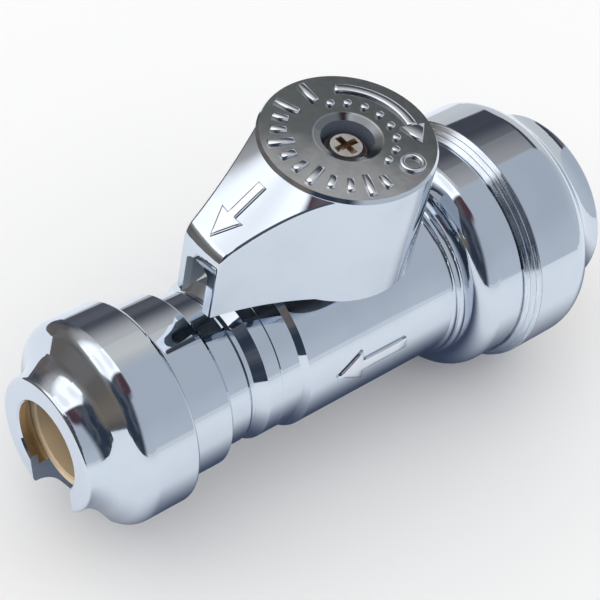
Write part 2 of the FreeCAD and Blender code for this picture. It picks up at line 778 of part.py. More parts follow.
# Pieces of one push-fit end, from the tube stop outwards
def tube_ring(end):
    ring = doc.addObject("Part::Torus", f"{end.name}_tube_oring")
    ring.Label = f"{end.name}_tube_oring"
    ring.Placement.Rotation = FreeCAD.Rotation(FreeCAD.Vector(0, 1, 0), 90)
    ring.setExpression("Radius1", (end.grip_r + end.ring_section / 2).text)
    ring.setExpression("Radius2", (end.ring_section / 2).text)
    at = end.seat_length + end.ring_section / 2
    ring.setExpression("Placement.Base.x", (small_stop_x - at if end.turned else at).text)
    return ring


def oring_spacer(end):
    body = new_body(f"{end.name}_oring_spacer")
    end.place(body, end.spigot_end)
    lean = dim.tooth_lean.tangent()
    thin = end.spacer_thick - (end.tooth_root_r - end.pass_r) * lean - dim.slide_gap
    relief_r = end.tooth_root_r + dim.slide_gap / lean
    revolve(body, [(0, end.pass_r), (thin, end.pass_r), (end.spacer_thick, relief_r),
                   (end.spacer_thick, end.stack_r), (0, end.stack_r)])
    return body


def grab_ring(end):
    body = new_body(f"{end.name}_grab_ring")
    end.place(body, end.grab_at - end.tooth_drop)
    back = end.tooth_drop + end.grab_thick
    revolve(body, [(0, end.grip_r), (end.grab_thick, end.grip_r), (back, end.tooth_root_r),
                   (back, end.stack_r), (end.tooth_drop, end.stack_r), (end.tooth_drop, end.tooth_root_r)])
    gap = new_sketch(body, "ToothGapSketch", "YZ_Plane")
    half = end.tooth_gap / 2
    outline(gap, box_corners(-half, 0.5 * end.grip_r, half, end.tooth_root_r + end.grab_thick))
    cut = extrude(body, gap, 2 * back, "Pocket", True, "ToothGap")
    polar(body, cut, (gap, ["N_Axis"]), end.tooth_count, as_size(360), "Teeth")
    return body


def grab_support(end):
    body = new_body(f"{end.name}_grab_support")
    end.place(body, end.support_at)
    bore_r = end.collar_r + 2 * dim.slide_gap
    revolve(body, box_corners(0, bore_r, end.support_thick, end.stack_r))
    return body


def release_collar(end, face):
    body = new_body(f"{end.name}_release_collar")
    end.place(body, end.collar_start)
    flange_at = end.flange_at - end.collar_start
    flange_end = flange_at + end.collar_flange
    flange_r = end.cap_bore_r - dim.slide_gap
    front = face - end.lip_thick - end.collar_setback - end.collar_start
    lead = dim.lip_bevel / 2
    revolve(body, [(0, end.pass_r), (end.collar_bevel, end.collar_r), (flange_at, end.collar_r),
                   (flange_at, flange_r), (flange_end, flange_r), (flange_end, end.collar_r),
                   (front, end.collar_r), (front, end.pass_r + lead), (front - lead, end.pass_r)])
    return body


def nose_corners(end, wide_end, cap_r, shoulder_r, face):
    """Outside of a cap from its full radius to its lip: a rounded shoulder, a slope, then a cove."""
    lip = face - dim.lip_bevel
    slope = dim.cap_slope.tangent()
    along = dim.cap_slope.sine()
    down = 1 - dim.cap_slope.cosine()
    cove_r = (lip - wide_end - (cap_r - end.nose_r) / slope) / (dim.cap_slope / 2).tangent() - shoulder_r
    return [(wide_end, cap_r, shoulder_r, 1),
            (wide_end + along * shoulder_r, cap_r - down * shoulder_r),
            (lip - along * cove_r, end.nose_r + down * cove_r, cove_r, -1),
            (lip, end.nose_r, dim.lip_bevel, 1), (face, end.nose_r - dim.lip_bevel)]


def cap_inside(end, start, face):
    """Inside of a cap from its lip back to the crimped edge that holds it on the spigot."""
    lead = dim.lip_bevel / 2
    return [(face, end.pass_r + lead), (face - lead, end.pass_r), (face - end.lip_thick, end.pass_r),
            (face - end.lip_thick, end.nose_bore_r), (end.cap_shoulder - start, end.nose_bore_r),
            (end.cap_shoulder - start, end.cap_bore_r), (dim.crimp_length, end.cap_bore_r),
            (dim.crimp_length, end.spigot_r - dim.crimp_depth), (0, end.spigot_r - dim.crimp_depth)]


def cut_nose_slot(body, end, face, cap_r):
    slot = new_sketch(body, "NoseSlotSketch", "YZ_Plane")
    lift_sketch(slot, face, end.slot_turn)
    half = end.slot_width / 2
    outline(slot, box_corners(-half, -2 * cap_r, half, 0))
    extrude(body, slot, end.slot_depth, "Pocket", name="NoseSlot")


def small_end_cap():
    body = new_body("small_end_cap")
    small.place(body, dim.small_skirt_start)
    cap_r = small.skirt_r + dim.small_cap_rise
    wide_end = dim.small_skirt_length + dim.small_cap_length
    face = dim.small_face - dim.small_skirt_start
    edge = dim.small_skirt_bevel
    outside = [(0, small.skirt_r - edge), (edge, small.skirt_r), (dim.small_skirt_length, small.skirt_r),
               (dim.small_skirt_length, cap_r - edge, edge, 1), (dim.small_skirt_length + edge, cap_r)]
    revolve(body, outside + nose_corners(small, wide_end, cap_r, dim.small_shoulder_r, face)
            + cap_inside(small, dim.small_skirt_start, face))
    cut_nose_slot(body, small, face, cap_r)
    return body


def large_end_cap():
    body = new_body("large_end_cap")
    large.place(body, dim.large_rim_start)
    cap_r = large.skirt_r
    wide_end = dim.large_rim_cone + dim.large_cap_length
    face = dim.large_face - dim.large_rim_start
    pitch = dim.large_rim_cone / rim_rings
    rim_r = large.cap_bore_r + dim.rim_edge
    rise = (cap_r - rim_r) / rim_rings
    outside = []
    for ring in range(rim_rings):
        end_r = rim_r + (ring + 1) * rise
        outside += [(ring * pitch, rim_r + ring * rise), ((ring + 1) * pitch - dim.rim_groove, end_r),
                    ((ring + 1) * pitch - dim.rim_groove / 2, end_r - dim.rim_groove)]
    outside.append((dim.large_rim_cone, cap_r))
    revolve(body, outside + nose_corners(large, wide_end, cap_r, dim.large_shoulder_r, face)
            + cap_inside(large, dim.large_rim_start, face))
    cut_nose_slot(body, large, face, cap_r)
    return body


# The whole valve
pieces = [
    valve_body(), ball(), ball_seat("small_side_seat", False), ball_seat("large_side_seat", True),
    ball_retainer(), stem(), stem_ring("lower_stem_oring", lower_ring_at),
    stem_ring("upper_stem_oring", upper_ring_at), thrust_washer(), handle(), handle_screw(),
    small_end_cap(), large_end_cap(),
]
for end, face in ((small, dim.small_face), (large, dim.large_face)):
    pieces += [tube_ring(end), oring_spacer(end), grab_ring(end), grab_support(end),
               release_collar(end, face)]

doc.recompute()
for item in doc.Objects:
    if "Invalid" in item.State or "Error" in item.State:
        raise RuntimeError(f"{item.Label} did not recompute: {item.State}")
for piece in pieces:
    if piece.Shape.isNull() or not piece.Shape.isValid():
        raise RuntimeError(f"{piece.Label} has no valid shape")

os.makedirs("parts", exist_ok=True)
for piece in pieces:
    piece.Shape.exportStep(f"parts/{piece.Label}.step")
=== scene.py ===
import math

import bmesh
import bpy
from mathutils import Matrix, Vector


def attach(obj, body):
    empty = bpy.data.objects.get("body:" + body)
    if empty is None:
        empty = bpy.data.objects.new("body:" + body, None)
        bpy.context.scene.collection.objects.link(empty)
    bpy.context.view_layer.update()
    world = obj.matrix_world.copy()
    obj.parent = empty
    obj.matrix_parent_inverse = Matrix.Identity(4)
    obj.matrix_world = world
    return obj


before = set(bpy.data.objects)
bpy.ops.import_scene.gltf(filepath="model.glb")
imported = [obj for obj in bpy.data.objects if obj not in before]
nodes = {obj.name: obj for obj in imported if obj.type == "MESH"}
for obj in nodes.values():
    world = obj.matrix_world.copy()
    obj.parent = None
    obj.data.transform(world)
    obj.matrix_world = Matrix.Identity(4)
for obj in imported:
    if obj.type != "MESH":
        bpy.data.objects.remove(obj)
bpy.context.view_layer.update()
print("frame loaded:", len(nodes), "nodes")


def newMaterial(name, baseColor, metallic, roughness):
    material = bpy.data.materials.new(name)
    material.use_nodes = True
    shader = material.node_tree.nodes["Principled BSDF"]
    shader.inputs["Base Color"].default_value = (*baseColor, 1.0)
    shader.inputs["Metallic"].default_value = metallic
    shader.inputs["Roughness"].default_value = roughness
    return material


def principled(material):
    return material.node_tree.nodes["Principled BSDF"]


def addNode(material, kind, **settings):
    node = material.node_tree.nodes.new(kind)
    for key, value in settings.items():
        setattr(node, key, value)
    return node


def join(material, source, target):
    material.node_tree.links.new(source, target)


def objectCoords(material):
    return addNode(material, "ShaderNodeTexCoord").outputs["Object"]


def splitXyz(material, vector):
    node = addNode(material, "ShaderNodeSeparateXYZ")
    join(material, vector, node.inputs["Vector"])
    return node.outputs["X"], node.outputs["Y"], node.outputs["Z"]


# either side may be a socket or a plain number
def mathStep(material, operation, first, second=0.0):
    node = addNode(material, "ShaderNodeMath", operation=operation)
    for socket, value in zip(node.inputs, (first, second)):
        if isinstance(value, (int, float)):
            socket.default_value = value
        else:
            join(material, value, socket)
    return node.outputs["Value"]


def product(material, first, *others):
    for value in others:
        first = mathStep(material, "MULTIPLY", first, value)
    return first


def total(material, first, *others):
    for value in others:
        first = mathStep(material, "ADD", first, value)
    return first


def dotWith(material, vector, direction):
    node = addNode(material, "ShaderNodeVectorMath", operation="DOT_PRODUCT")
    join(material, vector, node.inputs[0])
    node.inputs[1].default_value = direction
    return node.outputs["Value"]


def mapRange(material, value, fromEdges, toEdges):
    node = addNode(material, "ShaderNodeMapRange", interpolation_type="SMOOTHSTEP")
    for key, number in zip(("From Min", "From Max", "To Min", "To Max"), (*fromEdges, *toEdges)):
        node.inputs[key].default_value = number
    join(material, value, node.inputs["Value"])
    return node.outputs["Result"]


# 0 at the first edge, 1 at the second
def fade(material, value, edges):
    return mapRange(material, value, edges, (0.0, 1.0))


def mixColor(material, factor, first, second):
    node = addNode(material, "ShaderNodeMix", data_type="RGBA")
    join(material, factor, node.inputs["Factor"])
    for socket, value in ((node.inputs["A"], first), (node.inputs["B"], second)):
        if isinstance(value, tuple):
            socket.default_value = (*value, 1.0)
        else:
            join(material, value, socket)
    return node.outputs["Result"]


def noiseOn(material, vector, scale, detail):
    noise = addNode(material, "ShaderNodeTexNoise")
    noise.inputs["Scale"].default_value = scale
    noise.inputs["Detail"].default_value = detail
    join(material, vector, noise.inputs["Vector"])
    return noise.outputs["Fac"]


def noiseFactor(material, scale, detail):
    return noiseOn(material, objectCoords(material), scale, detail)


# fine rings that a cutting tool leaves round the flow axis
def turnedRings(material, scale, detail):
    along = splitXyz(material, objectCoords(material))[0]
    noise = addNode(material, "ShaderNodeTexNoise", noise_dimensions="1D")
    noise.inputs["Scale"].default_value = scale
    noise.inputs["Detail"].default_value = detail
    join(material, along, noise.inputs["W"])
    return noise.outputs["Fac"]


def addBump(material, height, distance, under=None):
    bump = addNode(material, "ShaderNodeBump")
    bump.inputs["Strength"].default_value = 1.0
    bump.inputs["Distance"].default_value = distance
    join(material, height, bump.inputs["Height"])
    if under:
        join(material, under, bump.inputs["Normal"])
    return bump.outputs["Normal"]


innerEdges = {"bore": (-0.84, -0.95), "wall": (0.84, 0.8), "wallAlong": (0.3, 0.2)}


# bores face the flow axis, and show brass; the walls of a cut slot lie across it
def innerMasks(material):
    coords = addNode(material, "ShaderNodeTexCoord")
    across = addNode(material, "ShaderNodeVectorMath", operation="MULTIPLY")
    join(material, coords.outputs["Object"], across.inputs[0])
    across.inputs[1].default_value = (0.0, 1.0, 1.0)
    outward = addNode(material, "ShaderNodeVectorMath", operation="NORMALIZE")
    join(material, across.outputs["Vector"], outward.inputs[0])
    dot = addNode(material, "ShaderNodeVectorMath", operation="DOT_PRODUCT")
    join(material, outward.outputs["Vector"], dot.inputs[0])
    join(material, coords.outputs["Normal"], dot.inputs[1])
    facing = dot.outputs["Value"]
    along = mathStep(material, "ABSOLUTE", splitXyz(material, coords.outputs["Normal"])[0])
    bore = fade(material, facing, innerEdges["bore"])
    wall = fade(material, mathStep(material, "ABSOLUTE", facing), innerEdges["wall"])
    return bore, product(material, wall, fade(material, along, innerEdges["wallAlong"]))


hollowEdges = {"inward": (-0.1, -0.3), "upright": (0.3, 0.15), "roof": (-0.4, -0.6), "roofBlend": 0.0003}


# inside of the hollow handle: walls that face its middle line or the stem, and the roof
def hollowMask(material, look):
    coords = addNode(material, "ShaderNodeTexCoord")
    x, y, z = splitXyz(material, coords.outputs["Object"])
    normalX, normalY, normalZ = splitXyz(material, coords.outputs["Normal"])
    x = mathStep(material, "SUBTRACT", x, look["stemX"])
    span = total(material, product(material, x, x), product(material, y, y))
    turned = total(material, product(material, x, normalX), product(material, y, normalY))
    towardStem = mathStep(material, "DIVIDE", turned, mathStep(material, "SQRT", span))
    towardLine = product(material, mathStep(material, "SIGN", y), normalY)
    inward = mathStep(material, "MINIMUM", towardStem, towardLine)
    wall = product(material, fade(material, inward, hollowEdges["inward"]),
                   fade(material, normalZ, hollowEdges["upright"]))
    roofEdge = (look["hollowFrom"], look["hollowFrom"] + hollowEdges["roofBlend"])
    roof = product(material, fade(material, normalZ, hollowEdges["roof"]), fade(material, z, roofEdge))
    return mathStep(material, "MAXIMUM", wall, roof)


# painted light on the disc's top: paler towards the lever and the near side, broken up by a noise cloud;
# painted shade darkens its dish round the screw
def discMasks(material, look):
    x, y, z = splitXyz(material, objectCoords(material))
    x = mathStep(material, "SUBTRACT", x, look["stemX"])
    cloud = product(material, noiseFactor(material, look["litCloudScale"], look["litCloudDetail"]), look["litCloudReach"])
    litRamp = total(material, product(material, total(material, x, y), look["litLean"]), cloud)
    span = total(material, product(material, x, x), product(material, y, y))
    reach = mathStep(material, "SQRT", span)
    near = fade(material, reach, look["dishShadeEdge"])
    below = fade(material, z, (look["satinFull"], look["satinFrom"]))
    return fade(material, litRamp, look["litFrom"]), product(material, near, below), reach


# the crimped band of the large cap is brushed round the axis
def brushedBand(material, look):
    along = splitXyz(material, objectCoords(material))[0]
    low, high = look["bandSpan"]
    inside = product(material, fade(material, along, (low - look["bandBlend"], low)),
                     fade(material, along, (high, high - look["bandBlend"])))
    stretch = addNode(material, "ShaderNodeMapping")
    stretch.inputs["Scale"].default_value = look["bandScale"]
    join(material, objectCoords(material), stretch.inputs["Vector"])
    return inside, noiseOn(material, stretch.outputs["Vector"], 1.0, look["bandDetail"])


# where each noise starts and ends its effect
platingNoise = {
    "smearDetail": 4.0, "smearTint": (0.42, 0.8), "smearRough": (0.35, 0.78),
    "waveDetail": 2.0, "ringDetail": 3.0, "streakRough": (0.35, 0.65), "streakPale": (0.45, 0.7),
    "grainDetail": 5.0, "grainRough": (0.3, 0.7),
}


# bright plating: a bluish mirror with faint smears and a soft waviness
def platedMetal(name, look):
    material = newMaterial(name, look["color"], 1.0, look["rough"][0])
    shader = principled(material)
    smear = noiseFactor(material, look["smearScale"], platingNoise["smearDetail"])
    tint = mixColor(material, fade(material, smear, platingNoise["smearTint"]), look["color"], look["dull"])
    rough = mapRange(material, smear, platingNoise["smearRough"], look["rough"])
    wave = noiseFactor(material, look["waveScale"], platingNoise["waveDetail"])
    normal = addBump(material, wave, look["waveDepth"])
    if "ringScale" in look:
        rings = turnedRings(material, look["ringScale"], platingNoise["ringDetail"])
        normal = addBump(material, rings, look["ringDepth"], normal)
        bore, wall = innerMasks(material)
        tint = mixColor(material, bore, tint, look["bore"])
        tint = mixColor(material, wall, tint, look["wall"])
        cut = mathStep(material, "MAXIMUM", bore, wall)
        rough = mathStep(material, "MAXIMUM", rough, product(material, cut, look["boreRough"]))
    if "bandSpan" in look:
        inside, streak = brushedBand(material, look)
        brushed = mapRange(material, streak, platingNoise["streakRough"], look["bandRough"])
        rough = mathStep(material, "MAXIMUM", rough, product(material, inside, brushed))
        pale = product(material, inside, fade(material, streak, platingNoise["streakPale"]))
        tint = mixColor(material, pale, tint, look["bandPale"])
        normal = addBump(material, product(material, inside, streak), look["bandDepth"], normal)
    if "satinFrom" in look:
        height = splitXyz(material, objectCoords(material))[2]
        satin = fade(material, height, (look["satinFrom"], look["satinFull"]))
        grain = noiseFactor(material, look["grainScale"], platingNoise["grainDetail"])
        grainy = mapRange(material, grain, platingNoise["grainRough"], look["satin"])
        rough = mathStep(material, "MAXIMUM", rough, product(material, satin, grainy))
        normal = addBump(material, product(material, satin, grain), look["grainDepth"], normal)
        litSatin, dishShade, reach = discMasks(material, look)
        # painted light pales the satin top on one side
        tint = mixColor(material, satin, tint, mixColor(material, litSatin, look["ground"], look["litSatin"]))
        # painted shade darkens the dish round the screw
        tint = mixColor(material, dishShade, tint, look["dishShade"])
        # the inside is left as cast, matt and unplated
        hollow = hollowMask(material, look)
        bare = product(material, hollow, look["hollowBare"])
        join(material, mathStep(material, "SUBTRACT", 1.0, bare), shader.inputs["Metallic"])
        # painted light pales the cast inside near the stem, and painted shade darkens the screw well
        castAndPaintedTone = mixColor(material, fade(material, reach, look["paleReach"]), look["hollow"], look["hollowLit"])
        # painted shade darkens the screw well
        castAndPaintedTone = mixColor(material, fade(material, reach, look["wellShadeReach"]), castAndPaintedTone, look["wellShade"])
        tint = mixColor(material, hollow, tint, castAndPaintedTone)
        rough = mathStep(material, "MAXIMUM", rough, product(material, hollow, look["hollowRough"]))
    join(material, tint, shader.inputs["Base Color"])
    join(material, rough, shader.inputs["Roughness"])
    join(material, normal, shader.inputs["Normal"])
    return material


plainNoise = {"grainDetail": 4.0, "cloudDetail": 3.0, "span": (0.3, 0.7)}


# plain finishes: a fine grain that shifts colour and gloss a little
def plainMaterial(name, look):
    material = newMaterial(name, look["color"], look["metallic"], look["rough"][0])
    shader = principled(material)
    grain = noiseFactor(material, look["grainScale"], plainNoise["grainDetail"])
    cloud = noiseFactor(material, look["cloudScale"], plainNoise["cloudDetail"])
    tint = mixColor(material, fade(material, cloud, plainNoise["span"]), look["color"], look["shade"])
    # a colour that sets in with height: a dark recess, or painted light on a paler lower side
    if "low" in look:
        height = splitXyz(material, objectCoords(material))[2]
        tint = mixColor(material, fade(material, height, look["lowEdge"]), tint, look["low"])
    join(material, tint, shader.inputs["Base Color"])
    join(material, mapRange(material, grain, plainNoise["span"], look["rough"]), shader.inputs["Roughness"])
    join(material, addBump(material, grain, look["grainDepth"]), shader.inputs["Normal"])
    return material


finishes = {
    "bodyPlating": {"color": (0.60, 0.65, 0.72), "dull": (0.55, 0.60, 0.67), "rough": (0.03, 0.1),
                    "smearScale": 130.0, "waveScale": 200.0, "waveDepth": 0.000005,
                    "ringScale": 5200.0, "ringDepth": 0.0000007,
                    "bore": (0.72, 0.58, 0.40), "wall": (0.22, 0.25, 0.30), "boreRough": 0.3},
    "capPlating": {"color": (0.60, 0.65, 0.72), "dull": (0.56, 0.61, 0.68), "rough": (0.025, 0.085),
                   "smearScale": 120.0, "waveScale": 180.0, "waveDepth": 0.000004,
                   "ringScale": 6500.0, "ringDepth": 0.0000005,
                   "bandSpan": (0.0089, 0.0106), "bandBlend": 0.0001, "bandScale": (9000.0, 420.0, 420.0),
                   "bandDetail": 3.0, "bandRough": (0.06, 0.3), "bandPale": (0.78, 0.82, 0.88),
                   "bandDepth": 0.000004,
                   "bore": (0.72, 0.58, 0.40), "wall": (0.22, 0.25, 0.30), "boreRough": 0.3},
    "handlePlating": {"color": (0.60, 0.65, 0.72), "dull": (0.55, 0.60, 0.67), "rough": (0.035, 0.11),
                      "smearScale": 150.0, "waveScale": 260.0, "waveDepth": 0.000008,
                      "satinFrom": 0.02622, "satinFull": 0.02628, "satin": (0.17, 0.26),
                      "grainScale": 1500.0, "grainDepth": 0.000005, "stemX": -0.011,
                      # the paler satin side and its noise cloud are painted light
                      "ground": (0.235, 0.257, 0.265), "litSatin": (0.66, 0.68, 0.70),
                      "litCloudScale": 240.0, "litCloudDetail": 3.0, "litCloudReach": 0.008, "litLean": -0.7,
                      "litFrom": (0.003, 0.0118),
                      # the dark dish round the screw is painted shade
                      "dishShade": (0.2, 0.21, 0.22), "dishShadeEdge": (0.0038, 0.0037),
                      "hollow": (0.27, 0.32, 0.37), "hollowBare": 0.9, "hollowRough": 0.5, "hollowFrom": 0.0124,
                      # the pale inside near the stem is painted light
                      "hollowLit": (0.72, 0.74, 0.77), "paleReach": (0.0105, 0.0095),
                      # the dark well round the screw is painted shade
                      "wellShade": (0.12, 0.145, 0.195), "wellShadeReach": (0.004, 0.0035)},
    "markPlating": {"color": (0.68, 0.71, 0.76), "dull": (0.62, 0.65, 0.70), "rough": (0.06, 0.14),
                    "smearScale": 400.0, "waveScale": 900.0, "waveDepth": 0.000006},
    "ballPlating": {"color": (0.62, 0.65, 0.69), "dull": (0.57, 0.60, 0.64), "rough": (0.05, 0.1),
                    "smearScale": 200.0, "waveScale": 300.0, "waveDepth": 0.000004},
}
plain = {
    "bareBrass": {"color": (0.72, 0.52, 0.23), "shade": (0.62, 0.43, 0.18), "metallic": 1.0,
                  "rough": (0.24, 0.36), "grainScale": 1800.0, "cloudScale": 260.0, "grainDepth": 0.00001},
    "screwSteel": {"color": (0.88, 0.86, 0.83), "shade": (0.76, 0.73, 0.69), "metallic": 1.0,
                   "rough": (0.14, 0.28), "grainScale": 1500.0, "cloudScale": 500.0, "grainDepth": 0.00001,
                   "low": (0.42, 0.33, 0.26), "lowEdge": (0.02485, 0.0247)},
    "springSteel": {"color": (0.6, 0.6, 0.58), "shade": (0.5, 0.5, 0.48), "metallic": 1.0,
                    "rough": (0.25, 0.4), "grainScale": 1500.0, "cloudScale": 400.0, "grainDepth": 0.000008},
    "seatWhite": {"color": (0.82, 0.82, 0.79), "shade": (0.76, 0.76, 0.72), "metallic": 0.0,
                  "rough": (0.4, 0.5), "grainScale": 900.0, "cloudScale": 200.0, "grainDepth": 0.000008},
    "ringPlastic": {"color": (0.72, 0.69, 0.6), "shade": (0.66, 0.62, 0.52), "metallic": 0.0,
                    "rough": (0.42, 0.55), "grainScale": 1100.0, "cloudScale": 240.0, "grainDepth": 0.000012},
    # the paler lower side of the collar is painted light
    "collarTan": {"color": (0.47, 0.37, 0.24), "shade": (0.32, 0.25, 0.17), "metallic": 0.0,
                  "rough": (0.3, 0.44), "grainScale": 1100.0, "cloudScale": 320.0, "grainDepth": 0.000012,
                  "low": (0.70, 0.55, 0.36), "lowEdge": (-0.0012, -0.0042)},
    "sealRubber": {"color": (0.02, 0.02, 0.02), "shade": (0.03, 0.03, 0.03), "metallic": 0.0,
                   "rough": (0.5, 0.65), "grainScale": 1300.0, "cloudScale": 300.0, "grainDepth": 0.000015},
}
materials = {name: platedMetal(name, look) for name, look in finishes.items()}
materials.update({name: plainMaterial(name, look) for name, look in plain.items()})

dress = {
    "valve_body": "bodyPlating", "small_end_cap": "capPlating", "large_end_cap": "capPlating",
    "handle": "handlePlating", "handle_screw": "screwSteel", "stem": "ballPlating",
    "ball_retainer": "bareBrass", "ball": "ballPlating", "small_side_seat": "seatWhite",
    "large_side_seat": "seatWhite", "thrust_washer": "seatWhite", "lower_stem_oring": "sealRubber",
    "upper_stem_oring": "sealRubber", "small_tube_oring": "sealRubber", "large_tube_oring": "sealRubber",
    "small_oring_spacer": "ringPlastic", "large_oring_spacer": "ringPlastic",
    "small_grab_support": "ringPlastic", "large_grab_support": "ringPlastic",
    "small_grab_ring": "springSteel", "large_grab_ring": "springSteel",
    "small_release_collar": "collarTan", "large_release_collar": "collarTan",
}
for nodeName, finish in dress.items():
    node = nodes[nodeName]
    node.data.materials.clear()
    node.data.materials.append(materials[finish])
print("materials:", len(materials))


def linkMesh(name, mesh):
    data = bpy.data.meshes.new(name)
    mesh.to_mesh(data)
    mesh.free()
    piece = bpy.data.objects.new(name, data)
    bpy.context.scene.collection.objects.link(piece)
    return piece


markBuild = {"mergeBelow": 0.000001, "rimAngle": 1.0, "rimShare": 0.9, "rimSegments": 2, "wrapCuts": 4}


# flat sheets become raised marks with softened top edges, sunk a little into what carries them
def raiseSheet(mesh, look):
    bmesh.ops.remove_doubles(mesh, verts=mesh.verts, dist=markBuild["mergeBelow"])
    mesh.normal_update()
    bmesh.ops.reverse_faces(mesh, faces=[face for face in mesh.faces if face.normal.z < 0.0])
    mesh.normal_update()
    bmesh.ops.solidify(mesh, geom=mesh.faces[:], thickness=look["rise"] + look["sink"])
    lowest = min(vert.co.z for vert in mesh.verts)
    bmesh.ops.translate(mesh, verts=mesh.verts, vec=(0.0, 0.0, -look["sink"] - lowest))
    bmesh.ops.recalc_face_normals(mesh, faces=mesh.faces)
    top = markBuild["rimShare"] * look["rise"]
    rim = [edge for edge in mesh.edges
           if edge.calc_face_angle(0.0) > markBuild["rimAngle"] and min(vert.co.z for vert in edge.verts) > top]
    bmesh.ops.bevel(mesh, geom=rim, offset=look["soften"], offset_type="OFFSET", affect="EDGES",
                    segments=markBuild["rimSegments"], profile=0.5, material=-1)


# pointer lying along X from the origin: a bar, then a head
def addArrow(mesh, look):
    length, bar, neck, head = (look[key] for key in ("length", "bar", "neck", "head"))
    spots = [(0.0, -bar), (0.0, bar), (neck, -bar), (neck, bar), (neck, -head), (neck, head), (length, 0.0)]
    corners = [mesh.verts.new((*at, 0.0)) for at in spots]
    tailLow, tailHigh, neckLow, neckHigh, headLow, headHigh, tip = corners
    for face in ((tailLow, neckLow, neckHigh, tailHigh), (headLow, tip, neckLow),
                 (neckLow, tip, neckHigh), (neckHigh, tip, headHigh)):
        mesh.faces.new(face)
    raiseSheet(mesh, look)
    bmesh.ops.subdivide_edges(mesh, edges=mesh.edges[:], cuts=markBuild["wrapCuts"], use_grid_fill=True)


def turnAbout(mesh, verts, degrees):
    bmesh.ops.rotate(mesh, verts=verts, cent=(0.0, 0.0, 0.0),
                     matrix=Matrix.Rotation(math.radians(degrees), 3, "Z"))


# a flat ring, or a part of one, spun from a short radial line
def spinStrip(mesh, inner, outer, degrees, steps, start=0.0):
    ends = [mesh.verts.new((inner, 0.0, 0.0)), mesh.verts.new((outer, 0.0, 0.0))]
    line = mesh.edges.new(ends)
    turnAbout(mesh, ends, start)
    bmesh.ops.spin(mesh, geom=ends + [line], cent=(0.0, 0.0, 0.0), axis=(0.0, 0.0, 1.0),
                   angle=math.radians(degrees), steps=steps, use_merge=degrees == 360.0)


def finishMark(name, mesh, body):
    for face in mesh.faces:
        face.smooth = True
    piece = linkMesh(name, mesh)
    piece.data.materials.append(materials["markPlating"])
    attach(piece, body)


discMarks = {
    "rise": 0.0003, "sink": 0.0001, "soften": 0.00014,
    "centre": (-0.011, 0.0, 0.0263), "ringRadius": 0.0071,
    "sweepFrom": -18.0, "sweepTurn": 80.0, "sweepWidth": 0.0011, "sweepSteps": 24,
    "headLength": 0.0026, "headWidth": 0.0028,
    "ringSignAt": -64.0, "ringSignRadius": 0.0014, "ringSignWidth": 0.0006, "ringSignSteps": 32,
    "barSignAt": 86.0, "barSign": (0.0028, 0.0009),
    "tickFrom": 112.0, "tickStep": 15.0, "tickCount": 11, "tickLongEvery": 3,
    "tickLong": (0.0028, 0.0008), "tickShort": (0.0017, 0.0008),
    "studRing": 0.00495, "studFrom": -75.0, "studStep": 21.0, "studCount": 8,
    "studRadius": 0.00048, "studSides": 20,
}


def addBar(mesh, size, angle, radius):
    made = bmesh.ops.create_grid(mesh, x_segments=1, y_segments=1, size=0.5)["verts"]
    bmesh.ops.scale(mesh, verts=made, vec=(*size, 1.0))
    bmesh.ops.translate(mesh, verts=made, vec=(radius, 0.0, 0.0))
    turnAbout(mesh, made, angle)


def finishDiscMark(name, mesh):
    raiseSheet(mesh, discMarks)
    bmesh.ops.translate(mesh, verts=mesh.verts, vec=discMarks["centre"])
    finishMark(name, mesh, "lever")


# turning arrow, a bar and a ring for open and shut, and a dial of ticks and studs
def makeDiscMarks():
    look = discMarks
    middle = look["ringRadius"]
    mesh = bmesh.new()
    half = look["sweepWidth"] / 2.0
    spinStrip(mesh, middle - half, middle + half, look["sweepTurn"], look["sweepSteps"], look["sweepFrom"])
    wide = look["headWidth"] / 2.0
    head = [mesh.verts.new(at) for at in ((middle - wide, 0.0, 0.0), (middle + wide, 0.0, 0.0),
                                          (middle, -look["headLength"], 0.0))]
    mesh.faces.new(head)
    turnAbout(mesh, head, look["sweepFrom"])
    finishDiscMark("discTurnArrow", mesh)

    mesh = bmesh.new()
    outer = look["ringSignRadius"]
    spinStrip(mesh, outer - look["ringSignWidth"], outer, 360.0, look["ringSignSteps"])
    bmesh.ops.translate(mesh, verts=mesh.verts, vec=(middle, 0.0, 0.0))
    turnAbout(mesh, mesh.verts, look["ringSignAt"])
    addBar(mesh, look["barSign"], look["barSignAt"], middle)
    finishDiscMark("discOpenShutSigns", mesh)

    mesh = bmesh.new()
    for number in range(look["tickCount"]):
        size = look["tickLong"] if number % look["tickLongEvery"] == 0 else look["tickShort"]
        addBar(mesh, size, look["tickFrom"] + number * look["tickStep"], middle)
    for number in range(look["studCount"]):
        stud = bmesh.ops.create_circle(mesh, cap_ends=True, segments=look["studSides"],
                                       radius=look["studRadius"])["verts"]
        turn = math.radians(look["studFrom"] + number * look["studStep"])
        place = (look["studRing"] * math.cos(turn), look["studRing"] * math.sin(turn), 0.0)
        bmesh.ops.translate(mesh, verts=stud, vec=place)
    finishDiscMark("discDial", mesh)


slopeMark = {
    "rise": 0.0003, "sink": 0.0001, "soften": 0.00016,
    "length": 0.0072, "bar": 0.00055, "neck": 0.0042, "head": 0.0016,
    "stemX": -0.011, "slope": 34.0, "discRadius": 0.00935, "crownZ": 0.0258, "startRadius": 0.0108,
}


